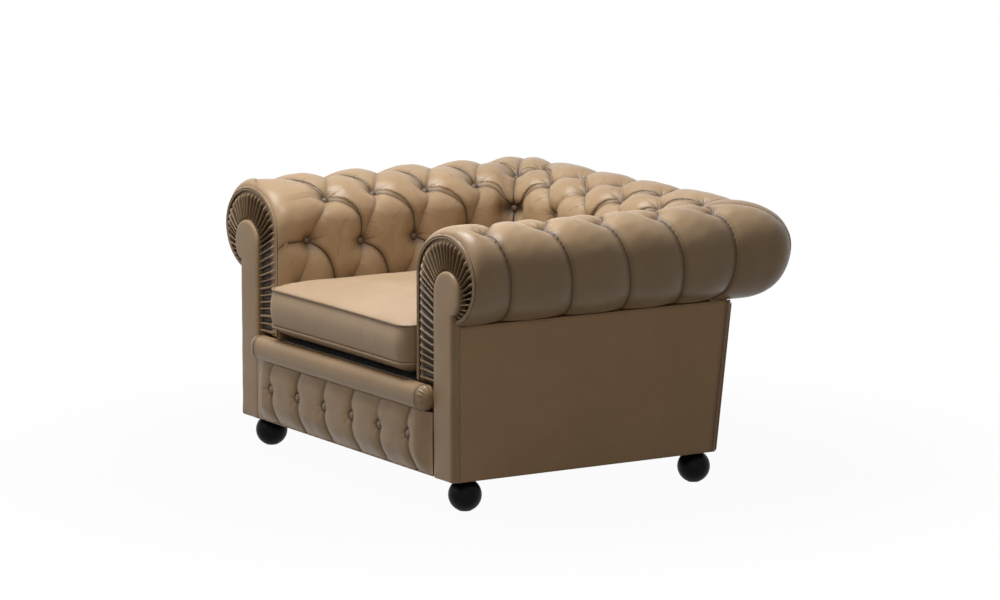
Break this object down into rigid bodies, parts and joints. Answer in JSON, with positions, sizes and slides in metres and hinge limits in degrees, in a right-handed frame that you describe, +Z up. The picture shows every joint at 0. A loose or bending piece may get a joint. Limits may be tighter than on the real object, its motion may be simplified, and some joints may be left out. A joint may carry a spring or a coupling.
{
  "type": "chesterfield armchair",
  "caption": "Low wide armchair with deep-buttoned rolled arms and back of one height, pleated scroll facings, a loose crowned seat cushion and dark ball feet.",
  "frame": {"origin": "on the floor under the middle of the chair's bounding box", "axes": "+Z up, -Y towards the front where the sitter's knees are, +X towards the sitter's left arm"},
  "size_m": [1.256, 1, 0.7],
  "materials": {
    "leather": "smooth satin taupe leather",
    "cushion_leather": "smooth satin taupe leather, a little paler",
    "piping_leather": "satin taupe leather over cord",
    "foot_lacquer": "black lacquer, satin",
    "frame_timber": "bare beech and plywood",
    "spring_steel": "drawn steel",
    "webbing": "jute webbing, hessian and deck cloth",
    "wadding": "hair, foam and felt padding",
    "black_cloth": "black dust cloth"
  },
  "bodies": {
    "chair": {"arm_buttons_left": "leather", "arm_buttons_right": "leather", "arm_cover_left": "leather", "arm_cover_right": "leather", "arm_rail_left": "frame_timber", "arm_rail_right": "frame_timber", "arm_roll_rail_left": "frame_timber", "arm_roll_rail_right": "frame_timber", "arm_stuffing_left": "wadding", "arm_stuffing_right": "wadding", "arm_tack_rail_left": "frame_timber", "arm_tack_rail_right": "frame_timber", "arm_webbing_left": "webbing", "arm_webbing_right": "webbing", "back_buttons": "leather", "back_cover": "leather", "back_rail": "frame_timber", "back_roll_rail": "frame_timber", "back_stuffing": "wadding", "back_tack_rail": "frame_timber", "back_webbing": "webbing", "corner_blocks": "frame_timber", "deck_cloth": "webbing", "deck_pad": "wadding", "dust_cover": "black_cloth", "facing_board_left": "frame_timber", "facing_board_right": "frame_timber", "facing_piping_left": "piping_leather", "facing_piping_right": "piping_leather", "foot_bolts": "spring_steel", "foot_discs": "spring_steel", "foot_front_left": "foot_lacquer", "foot_front_right": "foot_lacquer", "foot_rear_left": "foot_lacquer", "foot_rear_right": "foot_lacquer", "front_buttons": "leather", "front_panel": "leather", "front_post_left": "frame_timber", "front_post_right": "frame_timber", "front_rail": "frame_timber", "front_roll": "leather", "pleated_band_left": "leather", "pleated_band_right": "leather", "post_leather_left": "leather", "post_leather_right": "leather", "rear_panel": "leather", "rear_piping_left": "piping_leather", "rear_piping_right": "piping_leather", "rear_post_left": "frame_timber", "rear_post_right": "frame_timber", "rear_rail": "frame_timber", "seat_springs": "spring_steel", "side_panel_left": "leather", "side_panel_right": "leather", "side_rail_left": "frame_timber", "side_rail_right": "frame_timber", "spring_clips": "spring_steel", "spring_hessian": "webbing"},
    "cushion": {"cushion_piping": "piping_leather", "seat_cushion": "cushion_leather"}
  },
  "joints": [
    {"name": "cushion_lift", "type": "slide", "parent": "chair", "child": "cushion", "axis": [0, 0, 1], "range_m": [0, 0.35]}
  ]
}
